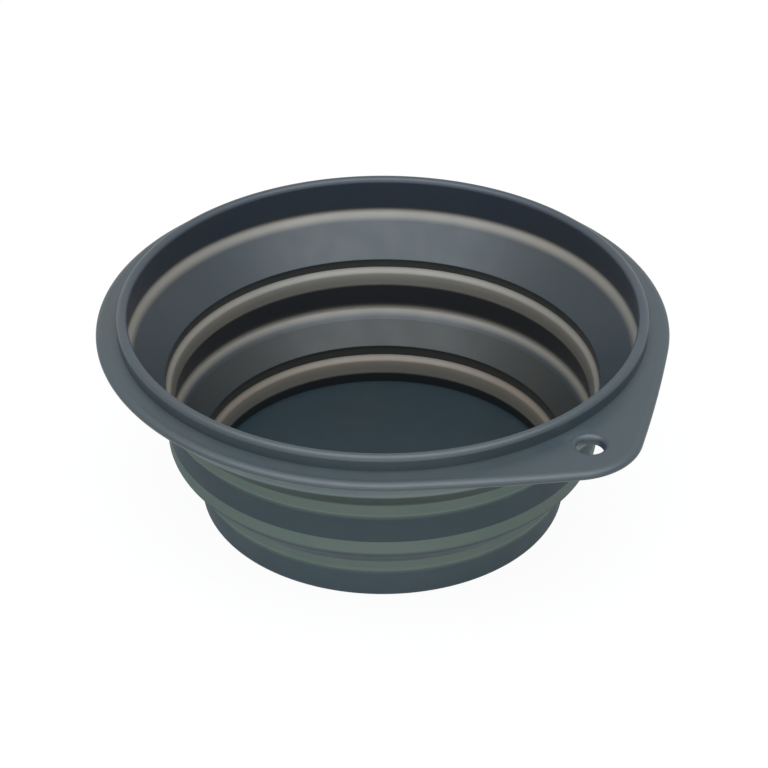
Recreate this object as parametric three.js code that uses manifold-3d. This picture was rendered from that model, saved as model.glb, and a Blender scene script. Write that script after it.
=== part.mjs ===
// A silicone travel bowl that folds flat. Three stiff sections, a base, a middle ring and a rim with a hang
// tab, are joined by two sloping webs, and each web is bonded to its neighbours by a soft hinge ring at
// either end. Pushing the rim down turns the webs inside out, one after the other.
// Millimetres, +Z up. The origin is the centre of the foot, and the hang tab points along +X.

import * as THREE from "three";
import { mergeVertices } from "three/addons/utils/BufferGeometryUtils.js";
import Module from "manifold-3d";

// Facets and seams
const SECTORS = 48; // facets round the bowl
const CORNER_STEPS = 2; // facets in a rounded corner of a wall
const BASE_STEPS = 3; // facets in a rounded corner of the base
const LIP_STEPS = 8; // facets over the lip
const EDGE_STEPS = 6; // facets round the flange's edge
const TAB_SIDE_STEPS = 6; // facets along each straight side of the hang tab
const TAB_TIP_STEPS = 6; // facets round the tip of the hang tab
const HOLE_SECTORS = 24; // facets round the hang hole
const SEAM = 0.3; // gap left where two bonded pieces meet

// Base: floor, well and outer wall
const WELL_RADIUS = 55.7;
const WELL_DEPTH = 3.9; // from the shoulder down to the floor
const WELL_FILLET = 0.6;
const SHOULDER_ROUNDING = 0.6;
const FLOOR_THICKNESS = 4.4;
const BASE_HEIGHT = 11.4;
const BASE_WALL = 4.5; // from the well to the outside, at the hinge
const FOOT_SET_IN = 1.9; // how far the wall leans in down to the table
const FOOT_ROUNDING = 2.4;
const FOOT_LAND = 6.8; // flat ring that the bowl stands on, outside the shallow groove
const FOOT_GROOVE_WIDTH = 5;
const FOOT_GROOVE_DEPTH = 0.8;

// Hinge ring on the base, and the lower web above it
const BASE_HINGE_STEP = 2.8; // inside, out from the well
const BASE_HINGE_WALL = 2.1;
const BASE_HINGE_HEIGHT = 5.7; // from the base to the crease
const BASE_CREASE_DEPTH = 3.4; // height of the upright groove between the bead and the crease
const LOWER_WEB_RUN = 9.6;
const LOWER_WEB_RISE = 9.7;
const LOWER_WEB_THICKNESS = 2.8;

// Middle ring, with a hinge ring at its foot and another at its top
const RING_FOOT_WALL = 0.8; // at the corner, where the wall starts as the web's edge
const RING_FOOT_HINGE_HEIGHT = 2.1;
const RING_HEIGHT = 10.1;
const RING_SHOULDER_STEP = 1.8; // inside, in from the foot, where the ring is thickest
const RING_SHOULDER_DEPTH = 2.1; // below the ring's top
const RING_SHOULDER_WALL = 3.4;
const RING_HINGE_STEP = 2.8; // inside, out from the shoulder
const RING_HINGE_WALL = 2.1;
const RING_HINGE_HEIGHT = 6.1;
const RING_CREASE_DEPTH = 2.9;

// Upper web and the hinge ring under the rim
const UPPER_WEB_RUN = 12.1;
const UPPER_WEB_RISE = 12.3;
const UPPER_WEB_THICKNESS = 2.5;
const RIM_WALL = 1.8; // at the corner
const RIM_HINGE_HEIGHT = 1.2;

// How far a hinge ring reaches along its web, and how its corners are rounded
const CREASE_REACH = 1.2;
const CORNER_REACH = 4.2;
const CREASE_ROUNDING = 0.6;
const CORNER_ROUNDING = 1.6;
const HEEL_ROUNDING = 3.8; // outside, where the web's underside turns up into the wall
const BEAD_FACET = 1.6; // run and rise of the sloping face that tops a bead
const BEAD_ROUNDING = 1.5;
const HINGE_BULGE = 1.3; // height over which a hinge ring swells out from the wall below it

// Rim: inner wall, rolled lip and flange
const RIM_HEIGHT = 11.6; // from the hinge to the top of the lip
const LIP_RADIUS = 1.7;
const LIP_OVERHANG = 1.2; // inside, in from the rim's foot
const FLANGE_WIDTH = 6.6;
const FLANGE_DROP = 5.3; // from the top of the lip to the flange
const FLANGE_THICKNESS = 2.8; // its edge is fully rounded
const FLANGE_ROOT_RUN = 2.9; // over which the flange's top rises towards the lip
const FLANGE_ROOT_RISE = 0.5;

// Hang tab
const TAB_REACH = 15.3; // beyond the flange
const TAB_TIP_RADIUS = 22.6;
const TAB_SIDE_RADIUS = 660; // of the tab's nearly straight sides
const HOLE_INSET = 13.1; // from the tab's tip to the middle of the hole
const HOLE_RADIUS = 4;
const HOLE_CHAMFER = 1.8;

// Radii of the walls and hinges, from the well outwards
const baseRadius = WELL_RADIUS + BASE_WALL;
const footRadius = baseRadius - FOOT_SET_IN;
const baseHingeRadius = WELL_RADIUS + BASE_HINGE_STEP;
const ringFootRadius = baseHingeRadius + LOWER_WEB_RUN;
const ringFootOuter = ringFootRadius + RING_FOOT_WALL;
const ringShoulderRadius = ringFootRadius - RING_SHOULDER_STEP;
const ringTopOuter = ringShoulderRadius + RING_SHOULDER_WALL;
const ringHingeRadius = ringShoulderRadius + RING_HINGE_STEP;
const rimFootRadius = ringHingeRadius + UPPER_WEB_RUN;
const rimFootOuter = rimFootRadius + RIM_WALL;
const lipInner = rimFootRadius - LIP_OVERHANG;
const lipCentreRadius = lipInner + LIP_RADIUS;
const lipOuter = lipCentreRadius + LIP_RADIUS;
const flangeRadius = lipOuter + FLANGE_WIDTH;
const tabTipDistance = flangeRadius + TAB_REACH;
const holeDistance = tabTipDistance - HOLE_INSET;

// Heights of the seams and corners, from the table up
const shoulderZ = FLOOR_THICKNESS + WELL_DEPTH;
const baseCreaseZ = BASE_HEIGHT + BASE_HINGE_HEIGHT;
const ringCornerZ = baseCreaseZ + LOWER_WEB_RISE;
const ringFootZ = ringCornerZ + RING_FOOT_HINGE_HEIGHT;
const ringTopZ = ringFootZ + RING_HEIGHT;
const ringCreaseZ = ringTopZ + RING_HINGE_HEIGHT;
const rimCornerZ = ringCreaseZ + UPPER_WEB_RISE;
const rimFootZ = rimCornerZ + RIM_HINGE_HEIGHT;
const lipTopZ = rimFootZ + RIM_HEIGHT;
const flangeTopZ = lipTopZ - FLANGE_DROP;
const flangeUnderZ = flangeTopZ - FLANGE_THICKNESS;

const point = (r, z) => new THREE.Vector2(r, z);

// The point at height z on the line through a and b.
function atHeight(a, b, z) {
  return a.clone().lerp(b, (z - a.y) / (b.y - a.y));
}

// Points of a curve that rounds the corner at b, between a and c. The radius gives way to short sides.
function roundedCorner(a, b, c, radius, steps) {
  const toA = a.clone().sub(b);
  const toC = c.clone().sub(b);
  const half = toA.angleTo(toC) / 2;
  const room = 0.45 * Math.min(toA.length(), toC.length());
  const reach = Math.min(radius / Math.tan(half), room);
  const start = b.clone().add(toA.setLength(reach));
  const end = b.clone().add(toC.setLength(reach));
  const middle = start.clone().add(end).multiplyScalar(0.5);
  const away = middle.clone().sub(b);
  const arcRadius = reach * Math.tan(half);
  const centre = b.clone().add(away.setLength(arcRadius / Math.sin(half)));
  const from = start.clone().sub(centre);
  const turn = Math.PI - 2 * half;
  const side = Math.sign(from.cross(end.clone().sub(centre)));
  const points = [];
  for (let i = 0; i <= steps; i += 1) {
    const spun = from.clone().rotateAround(new THREE.Vector2(), (side * turn * i) / steps);
    points.push(centre.clone().add(spun));
  }
  return points;
}

// A run of corners, each { at, rounding }, as the points of its rounded line. A closed run has no ends.
function roundedLine(corners, steps, closed) {
  const count = corners.length;
  return corners.flatMap((corner, i) => {
    const isEnd = !closed && (i === 0 || i === count - 1);
    if (isEnd || !corner.rounding) {
      return [corner.at];
    }
    const before = corners[(i + count - 1) % count].at;
    const after = corners[(i + 1) % count].at;
    return roundedCorner(before, corner.at, after, corner.rounding, steps);
  });
}

const corner = (at, rounding = 0) => ({ at, rounding });

// A solid of revolution from a profile that runs up its outside and down its inside.
function revolved(profile) {
  return new THREE.LatheGeometry(profile, SECTORS).rotateX(Math.PI / 2);
}

function ringSolid(corners) {
  const profile = roundedLine(corners, CORNER_STEPS, true);
  return revolved([...profile, profile[0]]);
}

// A web's section: the inside line from its crease up to its corner, its direction and its outward normal.
function webLine(crease, top, thickness) {
  const along = top.clone().sub(crease).normalize();
  const out = point(along.y, -along.x).multiplyScalar(thickness);
  const inside = (from, distance) => from.clone().addScaledVector(along, distance);
  const outside = (from, distance) => inside(from, distance).add(out);
  // The point where the web's outside meets a given radius.
  const outsideAt = (radius) => {
    const start = crease.clone().add(out);
    return inside(start, (radius - start.x) / along.x);
  };
  return { crease, top, inside, outside, outsideAt };
}

const lowerWeb = webLine(
  point(baseHingeRadius, baseCreaseZ),
  point(ringFootRadius, ringCornerZ),
  LOWER_WEB_THICKNESS,
);
const upperWeb = webLine(
  point(ringHingeRadius, ringCreaseZ),
  point(rimFootRadius, rimCornerZ),
  UPPER_WEB_THICKNESS,
);

// The bead inside a crease: from a stiff wall's shoulder up to a knee, and over a sloping face to the groove.
function beadLine(shoulder, crease, depth) {
  const top = point(crease.x, crease.y - depth);
  const knee = point(top.x - BEAD_FACET, top.y - BEAD_FACET);
  return { shoulder, knee, top };
}

const baseBead = beadLine(point(WELL_RADIUS, shoulderZ), lowerWeb.crease, BASE_CREASE_DEPTH);
const ringShoulder = point(ringShoulderRadius, ringTopZ - RING_SHOULDER_DEPTH);
const ringBead = beadLine(ringShoulder, upperWeb.crease, RING_CREASE_DEPTH);
const lipInside = point(lipInner, lipTopZ - LIP_RADIUS);

function baseGeometry() {
  const topZ = BASE_HEIGHT - SEAM / 2;
  const grooveOuter = footRadius - FOOT_LAND;
  const grooveInner = grooveOuter - FOOT_GROOVE_WIDTH;
  const corners = [
    corner(point(0, 0)),
    corner(point(grooveInner, 0)),
    corner(point(grooveInner + FOOT_GROOVE_DEPTH, FOOT_GROOVE_DEPTH)),
    corner(point(grooveOuter - FOOT_GROOVE_DEPTH, FOOT_GROOVE_DEPTH)),
    corner(point(grooveOuter, 0)),
    corner(point(footRadius, 0), FOOT_ROUNDING),
    corner(point(baseRadius, topZ)),
    corner(atHeight(baseBead.shoulder, baseBead.knee, topZ)),
    corner(baseBead.shoulder, SHOULDER_ROUNDING),
    corner(point(WELL_RADIUS, FLOOR_THICKNESS), WELL_FILLET),
    corner(point(0, FLOOR_THICKNESS)),
  ];
  return revolved(roundedLine(corners, BASE_STEPS, false));
}

function middleRingGeometry() {
  const footZ = ringFootZ + SEAM / 2;
  const topZ = ringTopZ - SEAM / 2;
  return ringSolid([
    corner(point(ringFootOuter, footZ)),
    corner(point(ringTopOuter, topZ)),
    corner(atHeight(ringBead.shoulder, ringBead.knee, topZ)),
    corner(ringBead.shoulder, SHOULDER_ROUNDING),
    corner(atHeight(lowerWeb.top, ringBead.shoulder, footZ)),
  ]);
}

function webGeometry(web) {
  const start = CREASE_REACH + SEAM / 2;
  const end = -CORNER_REACH - SEAM / 2;
  return ringSolid([
    corner(web.outside(web.crease, start)),
    corner(web.outside(web.top, end)),
    corner(web.inside(web.top, end)),
    corner(web.inside(web.crease, start)),
  ]);
}

// The hinge ring under a web: it stands on a stiff wall and ends just past the web's crease.
function creaseHingeGeometry(web, bead, seamZ, wallRadius, hingeWall) {
  const footZ = seamZ + SEAM / 2;
  const reach = CREASE_REACH - SEAM / 2;
  const outerRadius = web.crease.x + hingeWall;
  const webEnd = web.outside(web.crease, reach);
  const bulgeTopZ = Math.min(web.outsideAt(outerRadius).y, webEnd.y);
  return ringSolid([
    corner(point(wallRadius, footZ)),
    corner(point(outerRadius, footZ + HINGE_BULGE), HINGE_BULGE),
    corner(point(outerRadius, bulgeTopZ)),
    corner(webEnd),
    corner(web.inside(web.crease, reach)),
    corner(web.crease, CREASE_ROUNDING),
    corner(bead.top),
    corner(bead.knee, BEAD_ROUNDING),
    corner(atHeight(bead.shoulder, bead.knee, footZ)),
  ]);
}

// The hinge ring over a web: it turns the web's top up into the foot of a stiff wall, whose inside leans in.
function cornerHingeGeometry(web, wallTop, seamZ, outerRadius) {
  const topZ = seamZ - SEAM / 2;
  const reach = -CORNER_REACH + SEAM / 2;
  return ringSolid([
    corner(web.outside(web.top, reach)),
    corner(web.outsideAt(outerRadius), HEEL_ROUNDING),
    corner(point(outerRadius, topZ)),
    corner(atHeight(web.top, wallTop, topZ)),
    corner(web.top, CORNER_ROUNDING),
    corner(web.inside(web.top, reach)),
  ]);
}

// The flange's outline, once round from the tab's tip: three kinds of arc, each running smoothly into the
// next, for the tip, the sides of the tab and the round flange. Each station has its place on the outline,
// the outward normal there and its angle round the bowl.
function outlineStations() {
  const tip = point(tabTipDistance - TAB_TIP_RADIUS, 0);
  const toFlange = TAB_SIDE_RADIUS - flangeRadius;
  const toTip = TAB_SIDE_RADIUS - TAB_TIP_RADIUS;
  const sideX = (tip.x ** 2 + toFlange ** 2 - toTip ** 2) / (2 * tip.x);
  const side = point(sideX, -Math.sqrt(toFlange ** 2 - sideX ** 2));
  const otherSide = point(side.x, -side.y);
  const tipTurn = tip.clone().sub(side).angle();
  const flangeTurn = side.clone().negate().angle();
  const flangeSteps = Math.round((SECTORS * (Math.PI - flangeTurn)) / Math.PI);
  const stations = [];
  const addArc = (centre, radius, from, to, steps) => {
    for (let i = 0; i < steps; i += 1) {
      const turn = from + ((to - from) * i) / steps;
      const normal = point(Math.cos(turn), Math.sin(turn));
      const at = centre.clone().addScaledVector(normal, radius);
      stations.push({ at, normal, angle: at.angle() });
    }
  };
  const fullTurn = 2 * Math.PI;
  addArc(tip, TAB_TIP_RADIUS, -tipTurn, tipTurn, TAB_TIP_STEPS);
  addArc(side, TAB_SIDE_RADIUS, tipTurn, flangeTurn, TAB_SIDE_STEPS);
  addArc(point(0, 0), flangeRadius, flangeTurn, fullTurn - flangeTurn, flangeSteps);
  addArc(otherSide, TAB_SIDE_RADIUS, fullTurn - flangeTurn, fullTurn - tipTurn, TAB_SIDE_STEPS);
  return stations;
}

// The rim's section inside the outline: radii, from the flange's underside down to the rim's foot, up the
// inside and over the lip to the flange's top.
function rimWall() {
  const footZ = rimFootZ + SEAM / 2;
  const lipZ = lipTopZ - LIP_RADIUS;
  const lip = [];
  for (let i = 0; i <= LIP_STEPS; i += 1) {
    const angle = Math.PI * (1 - i / LIP_STEPS);
    const r = lipCentreRadius + LIP_RADIUS * Math.cos(angle);
    const z = lipZ + LIP_RADIUS * Math.sin(angle);
    lip.push(point(r, z));
  }
  return [
    point(rimFootOuter, flangeUnderZ),
    point(rimFootOuter, footZ),
    atHeight(upperWeb.top, lipInside, footZ),
    ...lip,
    point(lipOuter, flangeTopZ + FLANGE_ROOT_RISE),
    point(lipOuter + FLANGE_ROOT_RUN, flangeTopZ),
  ];
}

// The flange's rounded edge: distances in from the outline, from the flange's top round to its underside.
function flangeEdge() {
  const radius = FLANGE_THICKNESS / 2;
  const points = [];
  for (let i = 0; i <= EDGE_STEPS; i += 1) {
    const angle = Math.PI * (0.5 - i / EDGE_STEPS);
    points.push(point(radius * (1 - Math.cos(angle)), flangeTopZ - radius * (1 - Math.sin(angle))));
  }
  return points;
}

// One closed skin through the section at every station, as a geometry of triangles.
function loftedRim() {
  const wall = rimWall();
  const edge = flangeEdge();
  const sections = outlineStations().map(({ at, normal, angle }) => [
    ...wall.map((p) => new THREE.Vector3(p.x * Math.cos(angle), p.x * Math.sin(angle), p.y)),
    ...edge.map((p) => new THREE.Vector3(at.x - normal.x * p.x, at.y - normal.y * p.x, p.y)),
  ]);
  const perSection = wall.length + edge.length;
  const index = [];
  for (let s = 0; s < sections.length; s += 1) {
    const here = s * perSection;
    const next = ((s + 1) % sections.length) * perSection;
    for (let i = 0; i < perSection; i += 1) {
      const j = (i + 1) % perSection;
      index.push(here + i, here + j, next + j, here + i, next + j, next + i);
    }
  }
  return new THREE.BufferGeometry().setFromPoints(sections.flat()).setIndex(index);
}

// The hang hole as a solid, chamfered at the top of the tab.
function holeSolid() {
  const footZ = flangeUnderZ - FLANGE_THICKNESS;
  const profile = [
    point(0, footZ),
    point(HOLE_RADIUS, footZ),
    point(HOLE_RADIUS, flangeTopZ - HOLE_CHAMFER),
    point(HOLE_RADIUS + HOLE_CHAMFER, flangeTopZ),
    point(HOLE_RADIUS + HOLE_CHAMFER, lipTopZ),
    point(0, lipTopZ),
  ];
  const hole = new THREE.LatheGeometry(profile, HOLE_SECTORS).rotateX(Math.PI / 2);
  return hole.translate(holeDistance, 0, 0);
}

const wasm = await Module();
wasm.setup();

function solidOf(geometry) {
  const bare = geometry.clone();
  bare.deleteAttribute("normal");
  bare.deleteAttribute("uv");
  const merged = mergeVertices(bare, 1e-4);
  return new wasm.Manifold(
    new wasm.Mesh({
      numProp: 3,
      vertProperties: merged.attributes.position.array,
      triVerts: new Uint32Array(merged.index.array),
    }),
  );
}

function geometryOf(solid) {
  const mesh = solid.getMesh();
  const geometry = new THREE.BufferGeometry();
  geometry.setAttribute("position", new THREE.BufferAttribute(mesh.vertProperties, 3));
  geometry.setIndex(new THREE.BufferAttribute(mesh.triVerts, 1));
  geometry.computeVertexNormals();
  return geometry;
}

const rimGeometry = () => geometryOf(solidOf(loftedRim()).subtract(solidOf(holeSolid())));

// Materials: slate silicone for the stiff sections and the webs, a softer warm grey for the hinge rings
const slate = () => new THREE.MeshStandardMaterial({ color: 0x4a555c, roughness: 0.55, metalness: 0 });
const warmGrey = () => new THREE.MeshStandardMaterial({ color: 0x7b7d74, roughness: 0.5, metalness: 0 });

const bowl = new THREE.Group();
bowl.name = "travel_bowl";

function addPiece(name, geometry, material) {
  const mesh = new THREE.Mesh(geometry, material);
  mesh.name = name;
  bowl.add(mesh);
}

addPiece("base", baseGeometry(), slate());
addPiece(
  "base_hinge",
  creaseHingeGeometry(lowerWeb, baseBead, BASE_HEIGHT, baseRadius, BASE_HINGE_WALL),
  warmGrey(),
);
addPiece("lower_web", webGeometry(lowerWeb), slate());
addPiece(
  "ring_foot_hinge",
  cornerHingeGeometry(lowerWeb, ringShoulder, ringFootZ, ringFootOuter),
  warmGrey(),
);
addPiece("middle_ring", middleRingGeometry(), slate());
addPiece(
  "ring_top_hinge",
  creaseHingeGeometry(upperWeb, ringBead, ringTopZ, ringTopOuter, RING_HINGE_WALL),
  warmGrey(),
);
addPiece("upper_web", webGeometry(upperWeb), slate());
addPiece("rim_hinge", cornerHingeGeometry(upperWeb, lipInside, rimFootZ, rimFootOuter), warmGrey());
addPiece("rim", rimGeometry(), slate());

export default bowl;
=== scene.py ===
"""A collapsible silicone travel bowl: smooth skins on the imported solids, their finishes and studio light."""
import math

import bpy
from mathutils import Matrix, Vector


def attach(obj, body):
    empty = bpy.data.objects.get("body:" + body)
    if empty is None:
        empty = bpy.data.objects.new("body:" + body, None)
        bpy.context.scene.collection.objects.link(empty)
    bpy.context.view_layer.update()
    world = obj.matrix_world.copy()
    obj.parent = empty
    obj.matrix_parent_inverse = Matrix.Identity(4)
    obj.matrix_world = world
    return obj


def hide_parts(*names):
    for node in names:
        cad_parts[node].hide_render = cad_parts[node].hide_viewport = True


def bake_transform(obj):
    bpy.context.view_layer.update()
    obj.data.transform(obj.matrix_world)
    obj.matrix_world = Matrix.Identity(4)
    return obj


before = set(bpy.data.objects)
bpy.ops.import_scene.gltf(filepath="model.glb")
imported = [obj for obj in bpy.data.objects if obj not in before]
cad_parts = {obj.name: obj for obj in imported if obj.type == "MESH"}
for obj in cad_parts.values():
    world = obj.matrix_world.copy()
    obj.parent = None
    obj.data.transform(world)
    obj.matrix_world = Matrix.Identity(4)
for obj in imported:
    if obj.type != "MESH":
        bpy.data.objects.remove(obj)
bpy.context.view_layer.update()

# How finely the skins are cut, and the values that a web's vertices carry for its finish.
MM = 0.001
SECTORS = 192
ARC_STEP = math.radians(7)
SHARP_ANGLE = math.radians(32)
FOLD_STEP = 0.5
LIP_STEPS = 30
EDGE_STEPS = 18
FLARE_STEPS = 10
FLARE_STEP_DEGREES = 8
TIP_STEPS = 64
SIDE_STEPS = 24
FLANGE_STEPS = 168
WEB_SIDE = "outside"
WEB_HEIGHT = "open_height"

# Sizes of the sections, in millimetres from the bowl's axis and the table.
WELL_RADIUS = 55.7
WELL_FOOT_RADIUS = 56.0
FLOOR_TOP = 4.4
FOOT_RADIUS = 58.3
BASE_RADIUS = 60.2
BASE_TOP = 11.4
FOOT_ROUNDING = 2.4
GROOVE_INNER = 46.5
GROOVE_OUTER = 51.5
GROOVE_DEPTH = 0.8
GROOVE_ROUNDING = 0.5

BASE_SHOULDER = Vector((WELL_RADIUS, 8.3))
BASE_BEAD_TOP = 13.7
BASE_HINGE_RADIUS = 60.6
LOWER_CREASE = Vector((58.5, 17.1))
LOWER_CORNER = Vector((68.1, 26.8))
LOWER_WEB = 2.8

RING_FOOT_RADIUS = 68.9
RING_FOOT_TOP = 28.9
RING_TOP_RADIUS = 69.7
RING_TOP = 39.0
RING_SHOULDER = Vector((66.3, 36.9))
RING_BEAD_TOP = 42.2
RING_HINGE_RADIUS = 71.2
UPPER_CREASE = Vector((69.1, 45.1))
UPPER_CORNER = Vector((81.2, 57.4))
UPPER_WEB = 2.5

RIM_FOOT_RADIUS = 83.0
RIM_FOOT_TOP = 58.6

SEAM_DROP = 0.5
SEAM_INSET = 1.6
CREASE_ROUNDING = 0.5
CORNER_REACH = 4.2
CORNER_ROUNDING = 1.6
CORNER_OUTSIDE_ROUNDING = 3.8
SHOULDER_ROUNDING = 0.6
STRIPE_ROUNDING = 1.3
BEAD_FACET = 1.6
BEAD_FACET_ROUNDING = 1.6

LIP_CENTRE = Vector((81.7, 68.5))
LIP_RADIUS = 1.7
LIP_CURL = math.radians(194)
FLANGE_TOP = 64.9
FLANGE_ROOT_RISE = 0.5
FLANGE_ROOT_RUN = 2.9
FLANGE_UNDERSIDE = 62.1
FLANGE_RADIUS = 90.0
FLANGE_EDGE_REACH = 2.4
FLANGE_UNDERSIDE_RUN = 2.0

TAB_TIP_CENTRE = 82.7
TAB_TIP_RADIUS = 22.6
TAB_SIDE_RADIUS = 660.0
HOLE_CENTRE = 92.2
HOLE_RADIUS = 4.0
HOLE_TOP_ROUNDING = 1.8
HOLE_FOOT_ROUNDING = 0.2
HOLE_OVERSHOOT = 2.0

# The camera that took the photograph, in millimetres and degrees.
TAB_TURN = 41.6
CAMERA_ELEVATION = 33.6246
CAMERA_DISTANCE = 907.94
CAMERA_ASIDE = 0.42
TARGET_HEIGHT = 40.37
SENSOR_WIDTH = 36.0
LENS = 133.32


def turned(vector, angle):
    """A flat vector turned to the left by an angle."""
    return Matrix.Rotation(angle, 2) @ vector


def rounded(*corners):
    """Points along corners (radius, height) or (radius, height, rounding), with an arc at each rounding."""
    places = [Vector(corner[:2]) for corner in corners]
    line = []
    for index, place in enumerate(places):
        rounding = corners[index][2] if len(corners[index]) > 2 else 0
        if rounding == 0:
            line.append(place)
            continue
        back = (places[index - 1] - place).normalized()
        ahead = (places[index + 1] - place).normalized()
        half = back.angle(ahead) / 2
        turn = math.pi - 2 * half
        if back.cross(ahead) > 0:
            turn = -turn
        centre = place + (back + ahead).normalized() * rounding / math.sin(half)
        spoke = place + back * rounding / math.tan(half) - centre
        steps = max(2, math.ceil(abs(turn) / ARC_STEP))
        line += [centre + turned(spoke, turn * step / steps) for step in range(steps + 1)]
    return line


def subdivided(line):
    """The same line with points close enough together to fold smoothly."""
    points = [line[0]]
    for start, end in zip(line, line[1:]):
        steps = max(1, math.ceil((end - start).length / FOLD_STEP))
        points += [start.lerp(end, step / steps) for step in range(1, steps + 1)]
    return points


class Web:
    """A sloping wall between a crease and a corner on its inside, with its outside a thickness away."""

    def __init__(self, crease, corner, thickness):
        self.along = (corner - crease).normalized()
        self.crease = crease
        self.corner = corner
        self.outward = turned(self.along, -math.pi / 2) * thickness

    def before_corner(self):
        """Where the inside of the web ends and the ring at its corner begins."""
        return self.corner - self.along * CORNER_REACH

    def outside_at(self, radius):
        """The point of the web's outside at a radius."""
        start = self.crease + self.outward
        return start + self.along * (radius - start.x) / self.along.x


lower = Web(LOWER_CREASE, LOWER_CORNER, LOWER_WEB)
upper = Web(UPPER_CREASE, UPPER_CORNER, UPPER_WEB)


def lean_at(top, foot, height):
    """The point at a height on the straight line from a foot to a top."""
    return foot.lerp(top, (height - foot.y) / (top.y - foot.y))


def below(shoulder, wall_foot):
    """Where a bead ends on the wall under its shoulder."""
    return lean_at(shoulder, wall_foot, shoulder.y - SEAM_DROP)


def mesh_piece(name, vertices, faces):
    """A new object from vertices in millimetres."""
    mesh = bpy.data.meshes.new(name)
    mesh.from_pydata([Vector(v) * MM for v in vertices], [], faces)
    piece = bpy.data.objects.new(name, mesh)
    bpy.context.scene.collection.objects.link(piece)
    return piece


def smooth(piece):
    """Smooth faces, with sharp edges only at real corners and flats kept flat."""
    piece.data.shade_smooth()
    piece.data.set_sharp_from_angle(angle=SHARP_ANGLE)
    weighted = piece.modifiers.new("flat faces stay flat", "WEIGHTED_NORMAL")
    weighted.keep_sharp = True


def closed_loops(rings, closed):
    """Quads between neighbouring rings of vertex numbers, each ring a closed loop."""
    pairs = list(zip(rings, rings[1:]))
    if closed:
        pairs.append((rings[-1], rings[0]))
    faces = []
    for one, other in pairs:
        for k in range(max(len(one), len(other))):
            after = k + 1
            corners = [
                one[k % len(one)],
                one[after % len(one)],
                other[after % len(other)],
                other[k % len(other)],
            ]
            faces.append(tuple(dict.fromkeys(corners)))
    return faces


def revolved(name, section, closed=True):
    """A solid of revolution from a section that runs up the outside and down the inside."""
    vertices = []
    rings = []
    for radius, height in section:
        count = SECTORS if radius > 0 else 1
        rings.append(range(len(vertices), len(vertices) + count))
        for k in range(count):
            angle = math.tau * k / SECTORS
            vertices.append((radius * math.cos(angle), radius * math.sin(angle), height))
    return mesh_piece(name, vertices, closed_loops(rings, closed))


def base_skin():
    """The floor, the foot with its groove and the lower wall."""
    section = rounded(
        (0, 0),
        (GROOVE_INNER, 0, GROOVE_ROUNDING),
        (GROOVE_INNER + GROOVE_DEPTH, GROOVE_DEPTH, GROOVE_ROUNDING),
        (GROOVE_OUTER - GROOVE_DEPTH, GROOVE_DEPTH, GROOVE_ROUNDING),
        (GROOVE_OUTER, 0, GROOVE_ROUNDING),
        (FOOT_RADIUS, 0, FOOT_ROUNDING),
        (BASE_RADIUS, BASE_TOP),
        below(BASE_SHOULDER, Vector((WELL_FOOT_RADIUS, FLOOR_TOP))),
        (WELL_FOOT_RADIUS, FLOOR_TOP),
        (0, FLOOR_TOP),
    )
    return revolved("base_skin", section, closed=False)


def crease_hinge_skin(name, web, foot, wall, outer, bead_top, shoulder, wall_foot):
    """A soft ring on a stiff wall's top: a stripe outside, and inside a bead down to the wall's shoulder."""
    section = rounded(
        (wall, foot),
        (outer, foot + STRIPE_ROUNDING, STRIPE_ROUNDING),
        web.outside_at(outer),
        (web.crease.x, bead_top),
        (web.crease.x - BEAD_FACET, bead_top - BEAD_FACET, BEAD_FACET_ROUNDING),
        (*shoulder, SHOULDER_ROUNDING),
        below(shoulder, wall_foot),
    )
    return revolved(name, section)


def web_skin(name, web, inner, outer, bead_top):
    """A sloping wall with the dark crease at its foot, from one hinge's edge to the next one's rounding.

    Its vertices keep their side and their height in the open bowl, which the finish needs when the web folds.
    """
    outside = subdivided([web.outside_at(inner), web.outside_at(outer)])
    bend = rounded(web.before_corner(), (*web.crease, CREASE_ROUNDING), (web.crease.x, bead_top))
    inside = subdivided(bend)
    piece = revolved(name, outside + inside)
    sides = piece.data.attributes.new(WEB_SIDE, "FLOAT", "POINT")
    heights = piece.data.attributes.new(WEB_HEIGHT, "FLOAT", "POINT")
    for vertex in piece.data.vertices:
        sides.data[vertex.index].value = 1 if vertex.index < len(outside) * SECTORS else 0
        heights.data[vertex.index].value = vertex.co.z
    return piece


def corner_hinge_skin(name, web, seam, outer, top, wall_top):
    """A soft ring from the end of a web up to a stiff wall's foot."""
    section = rounded(
        web.outside_at(seam),
        (*web.outside_at(outer), CORNER_OUTSIDE_ROUNDING),
        (outer, top),
        lean_at(wall_top, web.corner, top),
        (*web.corner, CORNER_ROUNDING),
        web.before_corner(),
    )
    return revolved(name, section)


def middle_ring_skin():
    """The stiff wall between the two folds."""
    section = rounded(
        (RING_FOOT_RADIUS, RING_FOOT_TOP),
        (RING_TOP_RADIUS, RING_TOP),
        below(RING_SHOULDER, LOWER_CORNER),
        lean_at(RING_SHOULDER, LOWER_CORNER, RING_FOOT_TOP),
    )
    return revolved("middle_ring_skin", section)


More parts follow.
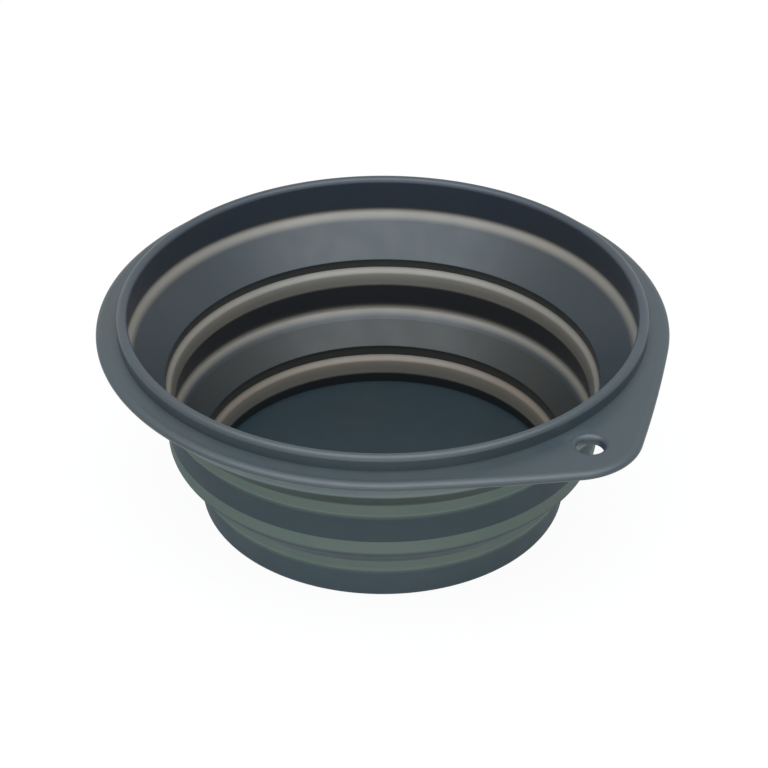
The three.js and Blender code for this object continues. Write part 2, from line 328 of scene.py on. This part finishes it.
def tab_outline():
    """Points and outward normals round the flange: the tab's tip, a side, the flange and the other side."""
    tip = Vector((TAB_TIP_CENTRE, 0))
    # Each side arc lies round the circles of the tip and the flange and touches both, which gives its centre.
    from_tip = TAB_SIDE_RADIUS - TAB_TIP_RADIUS
    from_axis = TAB_SIDE_RADIUS - FLANGE_RADIUS
    x = (from_axis ** 2 - from_tip ** 2 + tip.x ** 2) / (2 * tip.x)
    side = Vector((x, -math.sqrt(from_axis ** 2 - x ** 2)))
    tip_turn = math.atan2(tip.y - side.y, tip.x - side.x)
    flange_turn = math.atan2(-side.y, -side.x)
    arcs = [
        (tip, TAB_TIP_RADIUS, -tip_turn, tip_turn, TIP_STEPS),
        (side, TAB_SIDE_RADIUS, tip_turn, flange_turn, SIDE_STEPS),
        (Vector((0, 0)), FLANGE_RADIUS, flange_turn, math.tau - flange_turn, FLANGE_STEPS),
        (Vector((side.x, -side.y)), TAB_SIDE_RADIUS, -flange_turn, -tip_turn, SIDE_STEPS),
    ]
    stations = []
    for centre, radius, start, end, steps in arcs:
        for step in range(steps):
            normal = turned(Vector((1, 0)), start + (end - start) * step / steps)
            stations.append((centre + normal * radius, normal))
    return stations


def rim_skin():
    """The rim's upright wall and lip are round, and its flange's edge follows the outline of the tab."""
    turns = [LIP_CURL * step / LIP_STEPS for step in range(LIP_STEPS + 1)]
    lip = [LIP_CENTRE + turned(Vector((-LIP_RADIUS, 0)), -turn) for turn in turns]
    neck = lip[-1].x
    wall = [
        Vector((RIM_FOOT_RADIUS, FLANGE_UNDERSIDE)),
        Vector((RIM_FOOT_RADIUS, RIM_FOOT_TOP)),
        lean_at(lip[0], UPPER_CORNER, RIM_FOOT_TOP),
        *lip,
        Vector((neck, FLANGE_TOP + FLANGE_ROOT_RISE)),
        Vector((neck + FLANGE_ROOT_RUN, FLANGE_TOP)),
    ]
    edge_radius = (FLANGE_TOP - FLANGE_UNDERSIDE) / 2
    edge = []
    for step in range(EDGE_STEPS + 1):
        turn = math.pi * (0.5 - step / EDGE_STEPS)
        reach = FLANGE_EDGE_REACH if turn > 0 else edge_radius
        edge.append((reach * (1 - math.cos(turn)), FLANGE_TOP - edge_radius * (1 - math.sin(turn))))
    edge.append((edge_radius + FLANGE_UNDERSIDE_RUN, FLANGE_UNDERSIDE))
    vertices = []
    rings = []
    for spot, normal in tab_outline():
        bearing = spot.normalized()
        ring = [(*bearing * radius, height) for radius, height in wall]
        ring += [(*(spot - normal * inset), height) for inset, height in edge]
        rings.append(range(len(vertices), len(vertices) + len(ring)))
        vertices += ring
    return mesh_piece("rim_skin", vertices, closed_loops(rings, closed=True))


def hole_tool():
    """The hang hole as a solid, flared at both faces of the tab so that the hole's edges come out rounded."""
    flare = [math.radians(FLARE_STEP_DEGREES * step) for step in range(FLARE_STEPS + 1)]

    def flared(face, rounding, side):
        """Points of a rounded edge, from the bore out to the face, and straight on past it."""
        line = [
            Vector((HOLE_RADIUS + rounding * (1 - math.cos(t)), face + side * rounding * (math.sin(t) - 1)))
            for t in flare
        ]
        return [*line, line[-1] + Vector((0, side * HOLE_OVERSHOOT))]

    upper_half = flared(FLANGE_TOP, HOLE_TOP_ROUNDING, 1)
    lower_half = flared(FLANGE_UNDERSIDE, HOLE_FOOT_ROUNDING, -1)[::-1]
    top, bottom = upper_half[-1].y, lower_half[0].y
    section = [Vector((0, bottom)), *lower_half, *upper_half, Vector((0, top))]
    tool = revolved("hole_tool", section, closed=False)
    tool.location.x = HOLE_CENTRE * MM
    return tool


def drilled(piece, tool):
    """The piece with the tool's shape cut out of it."""
    cut = piece.modifiers.new("hole", "BOOLEAN")
    cut.object = tool
    cut.solver = "EXACT"
    bpy.context.view_layer.update()
    shape = piece.evaluated_get(bpy.context.evaluated_depsgraph_get())
    whole = piece.data
    piece.data = bpy.data.meshes.new_from_object(shape)
    piece.modifiers.clear()
    bpy.data.meshes.remove(whole)
    bpy.data.meshes.remove(tool.data)
    return piece


def blend_by_radius(piece):
    """Sets each vertex to a height equal to its radius, bakes the piece's transform into the mesh, and puts
    the vertices back.
    """
    rest = [vertex.co.copy() for vertex in piece.data.vertices]
    for vertex in piece.data.vertices:
        vertex.co = (0, 0, vertex.co.xy.length)
    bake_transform(piece)
    for vertex, place in zip(piece.data.vertices, rest):
        vertex.co = place


# Tones of the silicone, and of the light and shade painted onto it, each as a cool tone, the main tone and a
# warm tone.
SLATE = ((0.0130, 0.0238, 0.0322), (0.0150, 0.0245, 0.0312), (0.0170, 0.0252, 0.0302))
PALE_SLATE = ((0.0240, 0.0400, 0.0495), (0.0262, 0.0406, 0.0480), (0.0285, 0.0412, 0.0465))
# Painted light: the wall inside the lip, toned lighter than the rest of the rim.
LIT_RIM_INSIDE = ((0.0315, 0.0422, 0.0592), (0.0340, 0.0430, 0.0575), (0.0365, 0.0438, 0.0558))
RING_DARK = ((0.0258, 0.0281, 0.0355), (0.0275, 0.0287, 0.0345), (0.0292, 0.0293, 0.0335))
# Painted shade: the well's upright wall inside the base, much darker than the slate.
WELL_WALL_SHADE = ((0.0080, 0.0117, 0.0133), (0.0090, 0.0120, 0.0129), (0.0100, 0.0123, 0.0125))
OUTER_SLATE = ((0.0270, 0.0462, 0.0575), (0.0290, 0.0470, 0.0560), (0.0310, 0.0478, 0.0545))
# Painted light: the base's outside, toned lighter than the other outer slate as light from the white table.
TABLE_LIT_SLATE = ((0.0385, 0.0620, 0.0765), (0.0405, 0.0630, 0.0750), (0.0425, 0.0640, 0.0735))
# Painted shade: the floor of the well, a bluer slate toned darker as shade at the bottom of the bowl.
SHADED_FLOOR_SLATE = ((0.0050, 0.0164, 0.0238), (0.0065, 0.0170, 0.0232), (0.0080, 0.0176, 0.0226))
SMOKE = ((0.0190, 0.0232, 0.0245), (0.0210, 0.0236, 0.0235), (0.0230, 0.0240, 0.0225))
RING_INSIDE = ((0.206, 0.196, 0.174), (0.221, 0.204, 0.178), (0.231, 0.211, 0.182))
DEEP_RING_INSIDE = ((0.193, 0.159, 0.127), (0.205, 0.165, 0.130), (0.213, 0.171, 0.133))
# Painted shade: a dark copy of the warm hinge grey, for the creases and the upright faces above the corners.
CREASE_SHADE = ((0.041, 0.042, 0.036), (0.045, 0.044, 0.037), (0.049, 0.046, 0.038))
# Painted shade: a darker copy of the warm hinge grey, for the lower part of each bead.
BEAD_FOOT_SHADE = ((0.099, 0.095, 0.083), (0.106, 0.099, 0.085), (0.113, 0.103, 0.087))
# Painted shade: a dark green slate for the outsides under the flange, where its shadow falls.
UNDER_FLANGE_SHADE = ((0.0060, 0.0215, 0.0165), (0.0075, 0.0222, 0.0155), (0.0090, 0.0229, 0.0145))
# Partly painted reflection: the rim foot's lighter stripe tone, made lighter and bluer still for the white
# table's reflection.
RIM_RING_TONE_AND_REFLECTION = ((0.108, 0.142, 0.147), (0.117, 0.147, 0.149), (0.126, 0.151, 0.150))
BASE_RING_OUTSIDE = ((0.100, 0.141, 0.127), (0.108, 0.145, 0.128), (0.116, 0.148, 0.128))
RING_OUTSIDE = ((0.087, 0.125, 0.111), (0.095, 0.129, 0.112), (0.103, 0.132, 0.112))

# Heights between which tones turn into each other, in millimetres above the place that each is named for.
CREASE_FADE = (-1.6, -0.2)
FLOOR_FADE = (0.1, 0.6)
WALL_TOP_FADE = (-1.8, 0.8)
STRIPE_FADE_START = -0.8
LOWER_STRIPE_FADE_END = 2.0
UPPER_STRIPE_FADE_END = 3.6
BEAD_FADE_START = 1.0
BEAD_FADE_END = 0.2
BEAD_TOP_FADE = (-0.9, 0.3)
CORNER_BEND_FADE = (-3.0, -1.0)
CORNER_WALL_FADE = (-0.2, 1.5)
CORNER_OUTSIDE_FADE = (-3.4, -1.6)
LOWER_CORNER_RISE = 0.4
UPPER_CORNER_RISE = 0.0

# How far a face turns away from the axis, inside to outside: its level normal times its place in metres.
SIDE_TURN = (-0.01, 0.01)
RIM_TURN = (-0.03, -0.01)
WALL_TURN = (0.002, 0.012)

# Noise as scale and detail, and bumps as strength and distance in metres.
PATCHES = (140, 3)
PATCH_RANGE = (0.3, 0.7)
ROUGHNESS_SPREAD = 0.03
WAVES = (45, 1)
WAVE_BUMP = (0.2, 0.00006)
GRAIN = (1900, 2)
GRAIN_BUMP = (0.25, 0.00008)
CLOUDS = (26, 4)
CLOUD_STOPS = (0.35, 0.5, 0.65)


def about(level, fade):
    """The two heights of a fade near a level."""
    return [level + step for step in fade]


class Finish:
    """A silicone material of satin skin, with a fine grain and slow waves in its surface.

    Gloss and roughness are given for the inside and the outside. A finish that folds goes on a web.
    """

    def __init__(self, name, gloss=(0.55, 0.35), roughness=(0.42, 0.75), folds=False):
        self.folds = folds
        self.material = bpy.data.materials.new(name)
        self.material.use_nodes = True
        self.nodes = self.material.node_tree.nodes
        self.link = self.material.node_tree.links.new
        self.shader = self.nodes["Principled BSDF"]
        self.place = self.nodes.new("ShaderNodeTexCoord")
        outward = self.outward()
        self.link(self.ranged(outward, 0, 1, *gloss), self.shader.inputs["Specular IOR Level"])
        patches = self.noise(*PATCHES)
        sheens = []
        for middle in roughness:
            spread = (middle - ROUGHNESS_SPREAD, middle + ROUGHNESS_SPREAD)
            sheens.append(self.ranged(patches, *PATCH_RANGE, *spread))
        self.link(self.mixed(outward, *sheens, "FLOAT"), self.shader.inputs["Roughness"])
        waves = self.bump(self.noise(*WAVES), *WAVE_BUMP)
        grain = self.bump(self.noise(*GRAIN), *GRAIN_BUMP)
        self.link(waves.outputs["Normal"], grain.inputs["Normal"])
        self.link(grain.outputs["Normal"], self.shader.inputs["Normal"])

    def noise(self, scale, detail):
        node = self.nodes.new("ShaderNodeTexNoise")
        node.inputs["Scale"].default_value = scale
        node.inputs["Detail"].default_value = detail
        self.link(self.place.outputs["Object"], node.inputs["Vector"])
        return node.outputs["Fac"]

    def ranged(self, value, low, high, to_low=0.0, to_high=1.0):
        node = self.nodes.new("ShaderNodeMapRange")
        node.interpolation_type = "SMOOTHSTEP"
        node.inputs["From Min"].default_value = low
        node.inputs["From Max"].default_value = high
        node.inputs["To Min"].default_value = to_low
        node.inputs["To Max"].default_value = to_high
        self.link(value, node.inputs["Value"])
        return node.outputs["Result"]

    def bump(self, height, strength, distance):
        node = self.nodes.new("ShaderNodeBump")
        node.inputs["Strength"].default_value = strength
        node.inputs["Distance"].default_value = distance
        self.link(height, node.inputs["Height"])
        return node

    def clouds(self, tones):
        """Faint clouds between a cool tone, the main tone and a warm tone."""
        node = self.nodes.new("ShaderNodeValToRGB")
        ramp = node.color_ramp.elements
        ramp[0].position = CLOUD_STOPS[0]
        ramp[1].position = CLOUD_STOPS[2]
        ramp.new(CLOUD_STOPS[1])
        for element, tone in zip(ramp, tones):
            element.color = (*tone, 1)
        self.link(self.noise(*CLOUDS), node.inputs["Fac"])
        return node.outputs["Color"]

    def mixed(self, factor, one, other, kind="RGBA"):
        node = self.nodes.new("ShaderNodeMix")
        node.data_type = kind
        sockets = {socket.name: socket for socket in node.inputs if socket.enabled}
        self.link(factor, sockets["Factor"])
        self.link(one, sockets["A"])
        self.link(other, sockets["B"])
        return next(socket for socket in node.outputs if socket.enabled)

    def carried(self, name):
        """A value that the mesh carries at its vertices."""
        node = self.nodes.new("ShaderNodeAttribute")
        node.attribute_name = name
        return node.outputs["Fac"]

    def outward(self, turn=SIDE_TURN):
        """0 on faces turned to the axis of the open bowl and 1 on those turned away from it."""
        if self.folds:
            return self.carried(WEB_SIDE)
        level = self.nodes.new("ShaderNodeVectorMath")
        level.operation = "MULTIPLY"
        self.link(self.place.outputs["Normal"], level.inputs[0])
        level.inputs[1].default_value = (1, 1, 0)
        dot = self.nodes.new("ShaderNodeVectorMath")
        dot.operation = "DOT_PRODUCT"
        self.link(level.outputs["Vector"], dot.inputs[0])
        self.link(self.place.outputs["Object"], dot.inputs[1])
        return self.ranged(dot.outputs["Value"], *turn)

    def height(self, low, high):
        """0 below a height in millimetres and 1 above another, in the open bowl."""
        if self.folds:
            return self.ranged(self.carried(WEB_HEIGHT), low * MM, high * MM)
        node = self.nodes.new("ShaderNodeSeparateXYZ")
        self.link(self.place.outputs["Object"], node.inputs["Vector"])
        return self.ranged(node.outputs["Z"], low * MM, high * MM)

    def faded(self, low, high, foot, top):
        """Clouds of one set of tones that turn into another between two heights."""
        return self.mixed(self.height(low, high), self.clouds(foot), self.clouds(top))

    def painted(self, colour):
        self.link(colour, self.shader.inputs["Base Color"])
        return self.material


def rim_silicone(name):
    """Pale slate silicone, a little lighter and less green on the wall inside the lip, where the lighter tone
    is painted light.
    """
    finish = Finish(name, gloss=(0.5, 0.63), roughness=(0.42, 0.45))
    # The wall inside the lip takes the lighter tone, which is painted light.
    wall = finish.outward(RIM_TURN)
    return finish.painted(finish.mixed(wall, finish.clouds(LIT_RIM_INSIDE), finish.clouds(PALE_SLATE)))


def web_silicone(name, web, inside, outside, stripe_radius, stripe_fade_end, **sheen):
    """Slate silicone, warmer in the crease with painted shade of dark warm grey, which outside fades out of
    the stripe at its foot.
    """
    finish = Finish(name, folds=True, **sheen)
    inner = finish.faded(*about(web.crease.y, CREASE_FADE), CREASE_SHADE, inside)
    stripe_fade = about(web.outside_at(stripe_radius).y, (STRIPE_FADE_START, stripe_fade_end))
    outer = finish.faded(*stripe_fade, RING_OUTSIDE, outside)
    return finish.painted(finish.mixed(finish.outward(), inner, outer))


def wall_silicone(name, inside, outside, top):
    """Slate silicone, bluer on the floor and darker there as painted shade, which outside fades into the
    stripe at its top.
    """
    finish = Finish(name)
    inner = finish.faded(*about(FLOOR_TOP, FLOOR_FADE), SHADED_FLOOR_SLATE, inside)
    outer = finish.faded(*about(top, WALL_TOP_FADE), outside, RING_OUTSIDE)
    return finish.painted(finish.mixed(finish.outward(WALL_TURN), inner, outer))


def bead_silicone(name, shoulder, bead_top, tones, outside, **sheen):
    """Warm grey silicone, greener outside. Inside, painted shade darkens the foot of the bead and the crease.
    """
    finish = Finish(name, **sheen)
    bead = finish.faded(shoulder.y + BEAD_FADE_START, bead_top + BEAD_FADE_END, BEAD_FOOT_SHADE, tones)
    crease = finish.height(*about(bead_top, BEAD_TOP_FADE))
    inside = finish.mixed(crease, bead, finish.clouds(CREASE_SHADE))
    return finish.painted(finish.mixed(finish.outward(), inside, finish.clouds(outside)))


def corner_silicone(name, corner, rise, foot_outside, outer):
    """Warm grey silicone, cooler outside, which fades into the web below it and into painted shade on the
    upright wall above it.
    """
    finish = Finish(name)
    middle = corner.y + rise
    bend = finish.faded(*about(middle, CORNER_BEND_FADE), SLATE, RING_INSIDE)
    # Above the corner the inside turns into painted shade.
    wall = finish.height(*about(middle, CORNER_WALL_FADE))
    inside = finish.mixed(wall, bend, finish.clouds(CREASE_SHADE))
    outside = finish.faded(*about(corner.y, CORNER_OUTSIDE_FADE), foot_outside, outer)
    return finish.painted(finish.mixed(finish.outward(), inside, outside))


# The upper web's outside carries painted shade under the flange.
upper_web_slate = web_silicone(
    "slate silicone, upper web", upper, SLATE, UNDER_FLANGE_SHADE, RING_HINGE_RADIUS, UPPER_STRIPE_FADE_END
)
# Inside, the well's wall carries painted shade. Outside, the base carries painted light from the table.
base_slate = wall_silicone("slate silicone, base", WELL_WALL_SHADE, TABLE_LIT_SLATE, BASE_TOP)
ring_slate = wall_silicone("slate silicone, middle ring", RING_DARK, OUTER_SLATE, RING_TOP)
rim_slate = rim_silicone("slate silicone, rim")
lower_web_slate = web_silicone(
    "slate silicone, lower web", lower, SMOKE, OUTER_SLATE, BASE_HINGE_RADIUS, LOWER_STRIPE_FADE_END,
    gloss=(0.4, 0.45),
)
base_hinge_grey = bead_silicone(
    "warm grey silicone, base", BASE_SHOULDER, BASE_BEAD_TOP, DEEP_RING_INSIDE, BASE_RING_OUTSIDE,
    gloss=(0.4, 0.35),
)
ring_top_grey = bead_silicone(
    "warm grey silicone, ring top", RING_SHOULDER, RING_BEAD_TOP, RING_INSIDE, RING_OUTSIDE
)
ring_foot_grey = corner_silicone(
    "warm grey silicone, ring foot", LOWER_CORNER, LOWER_CORNER_RISE, OUTER_SLATE, RING_OUTSIDE
)
# The rim foot's outside fades from painted shade under the flange into a light stripe that is partly a painted
# reflection.
rim_foot_grey = corner_silicone(
    "warm grey silicone, rim foot", UPPER_CORNER, UPPER_CORNER_RISE, UNDER_FLANGE_SHADE, RIM_RING_TONE_AND_REFLECTION
)

# The skins, from the table up.
lower_seam = lower.outside_at(RING_FOOT_RADIUS).x - SEAM_INSET
upper_seam = upper.outside_at(RIM_FOOT_RADIUS).x - SEAM_INSET
base = base_skin()
base_hinge = crease_hinge_skin(
    "base_hinge_skin", lower, BASE_TOP, BASE_RADIUS, BASE_HINGE_RADIUS,
    BASE_BEAD_TOP, BASE_SHOULDER, Vector((WELL_FOOT_RADIUS, FLOOR_TOP)),
)
lower_web = web_skin("lower_web_skin", lower, BASE_HINGE_RADIUS, lower_seam, BASE_BEAD_TOP)
ring_foot_hinge = corner_hinge_skin(
    "ring_foot_hinge_skin", lower, lower_seam, RING_FOOT_RADIUS, RING_FOOT_TOP, RING_SHOULDER
)
middle_ring = middle_ring_skin()
ring_top_hinge = crease_hinge_skin(
    "ring_top_hinge_skin", upper, RING_TOP, RING_TOP_RADIUS, RING_HINGE_RADIUS,
    RING_BEAD_TOP, RING_SHOULDER, LOWER_CORNER,
)
upper_web = web_skin("upper_web_skin", upper, RING_HINGE_RADIUS, upper_seam, RING_BEAD_TOP)
rim_hinge = corner_hinge_skin(
    "rim_hinge_skin", upper, upper_seam, RIM_FOOT_RADIUS, RIM_FOOT_TOP, LIP_CENTRE - Vector((LIP_RADIUS, 0))
)
rim = drilled(rim_skin(), hole_tool())

# Each skin with the node it stands for, the body it rides, its finish and its slot; the webs ride none.
PIECES = [
    (base, "base", "base", base_slate, "slate_silicone"),
    (base_hinge, "base_hinge", "base", base_hinge_grey, "hinge_silicone"),
    (lower_web, "lower_web", None, lower_web_slate, "slate_silicone"),
    (ring_foot_hinge, "ring_foot_hinge", "middle", ring_foot_grey, "hinge_silicone"),
    (middle_ring, "middle_ring", "middle", ring_slate, "slate_silicone"),
    (ring_top_hinge, "ring_top_hinge", "middle", ring_top_grey, "hinge_silicone"),
    (upper_web, "upper_web", None, upper_web_slate, "slate_silicone"),
    (rim_hinge, "rim_hinge", "rim", rim_foot_grey, "hinge_silicone"),
    (rim, "rim", "rim", rim_slate, "slate_silicone"),
]
for piece, node, body, material, slot in PIECES:
    smooth(piece)
    piece.data.materials.clear()
    piece.data.materials.append(material)
    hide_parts(node)
    if body is not None:
        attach(piece, body)
blend_by_radius(lower_web)
blend_by_radius(upper_web)

# Camera, table and light
COOL_WHITE = (0.93, 1.0, 1.05)
WORLD_STRENGTH = 0.2
TABLE_SIDES = 96
TABLE_RADIUS = 4.0
TABLE_GREY = (0.9, 0.9, 0.9, 1)
TABLE_ROUGHNESS = 0.9
TABLE_GLOSS = 0.1
TABLE_GLOW = 1.02
TABLE_GLOW_SHARE = 0.93

to_camera = turned(Vector((1, 0)), -math.radians(TAB_TURN))
to_right = turned(to_camera, math.pi / 2)


def placed(elevation, distance, height=0.0):
    """A point towards the camera from a height on the bowl's axis, with its distance in millimetres."""
    level = to_camera * math.cos(math.radians(elevation))
    offset = Vector((*level, math.sin(math.radians(elevation)))) * distance * MM
    return offset + Vector((0, 0, height * MM))


def aimed(thing, place, target):
    """Puts a camera or a lamp in its place and points it at a target."""
    thing.location = place
    thing.rotation_euler = (target - place).to_track_quat("-Z", "Y").to_euler()
    bpy.context.scene.collection.objects.link(thing)


camera = bpy.data.objects.new("camera", bpy.data.cameras.new("camera"))
camera.data.sensor_width = SENSOR_WIDTH
camera.data.lens = LENS
shift = Vector((*to_right, 0)) * CAMERA_ASIDE * MM
target = Vector((0, 0, TARGET_HEIGHT * MM)) + shift
aimed(camera, placed(CAMERA_ELEVATION, CAMERA_DISTANCE, TARGET_HEIGHT) + shift, target)
bpy.context.scene.camera = camera


def background_share(tree, share):
    """A factor that is share for rays from the camera, in gloss or through glass, and 0 for the rest."""
    path = tree.nodes.new("ShaderNodeLightPath")
    total = path.outputs["Is Camera Ray"]
    for kind in ("Is Glossy Ray", "Is Transmission Ray"):
        either = tree.nodes.new("ShaderNodeMath")
        either.operation = "MAXIMUM"
        tree.links.new(total, either.inputs[0])
        tree.links.new(path.outputs[kind], either.inputs[1])
        total = either.outputs["Value"]
    scaled = tree.nodes.new("ShaderNodeMath")
    scaled.operation = "MULTIPLY"
    tree.links.new(total, scaled.inputs[0])
    scaled.inputs[1].default_value = share
    return scaled.outputs["Value"]


def backdrop_floor():
    """A white table that glows, so that it looks plain white with a faint shadow."""
    bpy.ops.mesh.primitive_circle_add(vertices=TABLE_SIDES, radius=TABLE_RADIUS, fill_type="NGON")
    floor = bpy.context.object
    floor.name = "floor"
    material = bpy.data.materials.new("white table")
    material.use_nodes = True
    tree = material.node_tree
    shader = tree.nodes["Principled BSDF"]
    shader.inputs["Base Color"].default_value = TABLE_GREY
    shader.inputs["Roughness"].default_value = TABLE_ROUGHNESS
    shader.inputs["Specular IOR Level"].default_value = TABLE_GLOSS
    white = tree.nodes.new("ShaderNodeEmission")
    white.inputs["Strength"].default_value = TABLE_GLOW
    mixed = tree.nodes.new("ShaderNodeMixShader")
    tree.links.new(background_share(tree, TABLE_GLOW_SHARE), mixed.inputs["Fac"])
    tree.links.new(shader.outputs["BSDF"], mixed.inputs[1])
    tree.links.new(white.outputs["Emission"], mixed.inputs[2])
    tree.links.new(mixed.outputs["Shader"], tree.nodes["Material Output"].inputs["Surface"])
    floor.data.materials.append(material)


def studio_world(strength):
    """Even white surroundings, dimmer as a light than they look."""
    world = bpy.data.worlds.new("studio")
    world.use_nodes = True
    tree = world.node_tree
    dim = tree.nodes["Background"]
    dim.inputs["Color"].default_value = (1, 1, 1, 1)
    dim.inputs["Strength"].default_value = strength
    white = tree.nodes.new("ShaderNodeBackground")
    white.inputs["Color"].default_value = (1, 1, 1, 1)
    mixed = tree.nodes.new("ShaderNodeMixShader")
    tree.links.new(background_share(tree, 1), mixed.inputs["Fac"])
    tree.links.new(dim.outputs["Background"], mixed.inputs[1])
    tree.links.new(white.outputs["Background"], mixed.inputs[2])
    tree.links.new(mixed.outputs["Shader"], tree.nodes["World Output"].inputs["Surface"])
    bpy.context.scene.world = world


def softbox(name, elevation, distance, width, height, power):
    """A lamp towards the camera, aimed at the bowl, with its sides in metres and its power in watts."""
    lamp = bpy.data.lights.new(name, "AREA")
    lamp.shape = "RECTANGLE"
    lamp.size = width
    lamp.size_y = height
    lamp.energy = power
    lamp.color = COOL_WHITE
    middle = Vector((0, 0, TARGET_HEIGHT * MM))
    aimed(bpy.data.objects.new(name, lamp), placed(elevation, distance), middle)


backdrop_floor()
studio_world(WORLD_STRENGTH)
softbox("top softbox", elevation=76, distance=1300, width=1.9, height=1.3, power=25)
softbox("front fill", elevation=11, distance=1600, width=2.4, height=0.6, power=8.5)
bpy.context.scene.view_settings.view_transform = "Standard"
